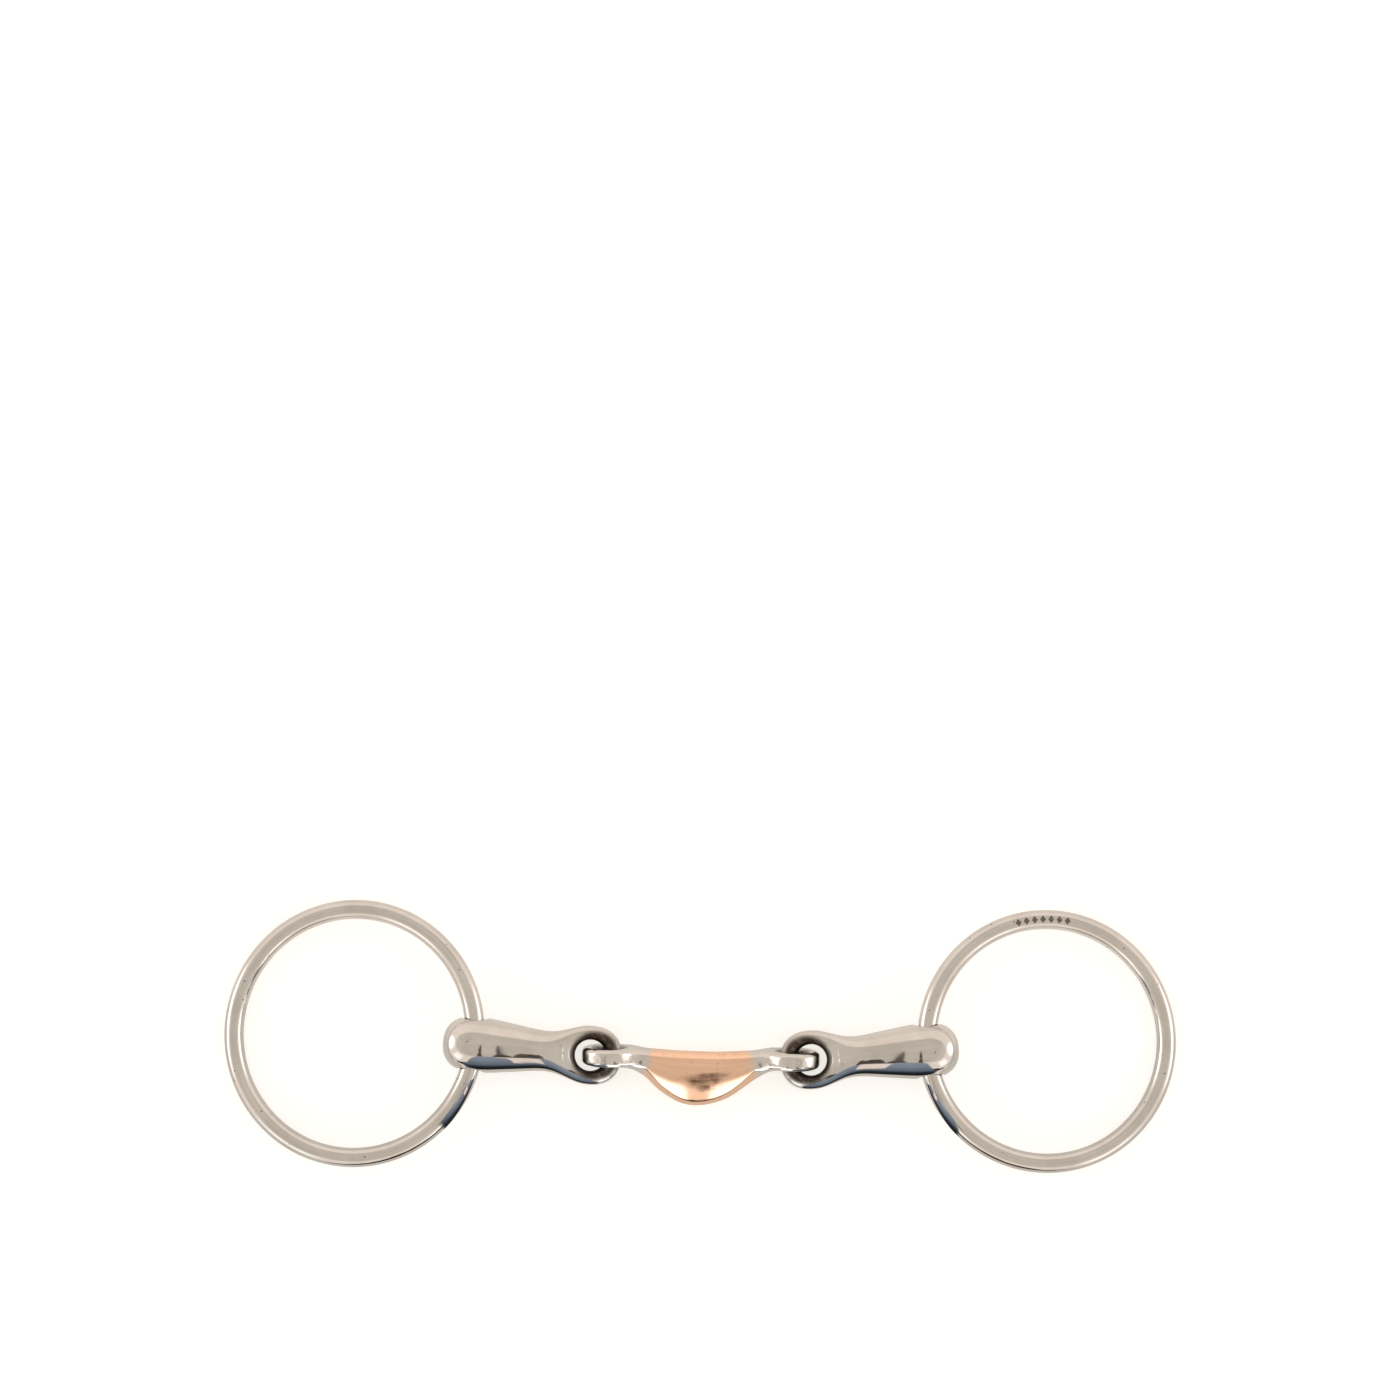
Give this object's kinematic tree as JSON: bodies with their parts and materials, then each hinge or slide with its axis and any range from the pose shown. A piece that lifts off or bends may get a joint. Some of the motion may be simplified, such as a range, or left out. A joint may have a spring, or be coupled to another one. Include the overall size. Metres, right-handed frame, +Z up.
{
  "type": "snaffle bit",
  "caption": "Loose-ring snaffle bit with a jointed mouthpiece: tapered steel cannons hinged on a link with a leaf-shaped copper lozenge, plain rings at the ends.",
  "frame": {"origin": "centre of the bounding box, on the surface the bit lies on", "axes": "+X along the mouthpiece to the right ring, +Y towards the lozenge's straight edge, +Z up"},
  "size_m": [0.2975, 0.084, 0.0172],
  "materials": {
    "stainless_steel": "polished stainless steel",
    "ring_steel": "polished stainless steel wire",
    "copper": "polished copper alloy"
  },
  "bodies": {
    "centre_link": {"centre_link_steel": "stainless_steel", "centre_link_copper": "copper"},
    "cannon_left": {"cannon_left": "stainless_steel"},
    "cannon_right": {"cannon_right": "stainless_steel"},
    "ring_left": {"ring_left": "ring_steel"},
    "ring_right": {"ring_right": "ring_steel"}
  },
  "joints": [
    {"name": "fold_left", "type": "hinge", "parent": "centre_link", "child": "cannon_left", "pos_m": [-0.03411, -0.00632, 0.0086], "axis": [0, 0, 1], "range_deg": [-60, 60]},
    {"name": "fold_right", "type": "hinge", "parent": "centre_link", "child": "cannon_right", "pos_m": [0.03429, -0.00632, 0.0086], "axis": [0, 0, 1], "range_deg": [-60, 60]},
    {"name": "ring_swing_left", "type": "hinge", "parent": "cannon_left", "child": "ring_left", "pos_m": [-0.07052, -0.00371, 0.0086], "axis": [0.0715, 0.9974, 0], "range_deg": [-110, 110]},
    {"name": "ring_swing_right", "type": "hinge", "parent": "cannon_right", "child": "ring_right", "pos_m": [0.07061, -0.00269, 0.0086], "axis": [0.0993, -0.9951, 0], "range_deg": [-110, 110]}
  ]
}
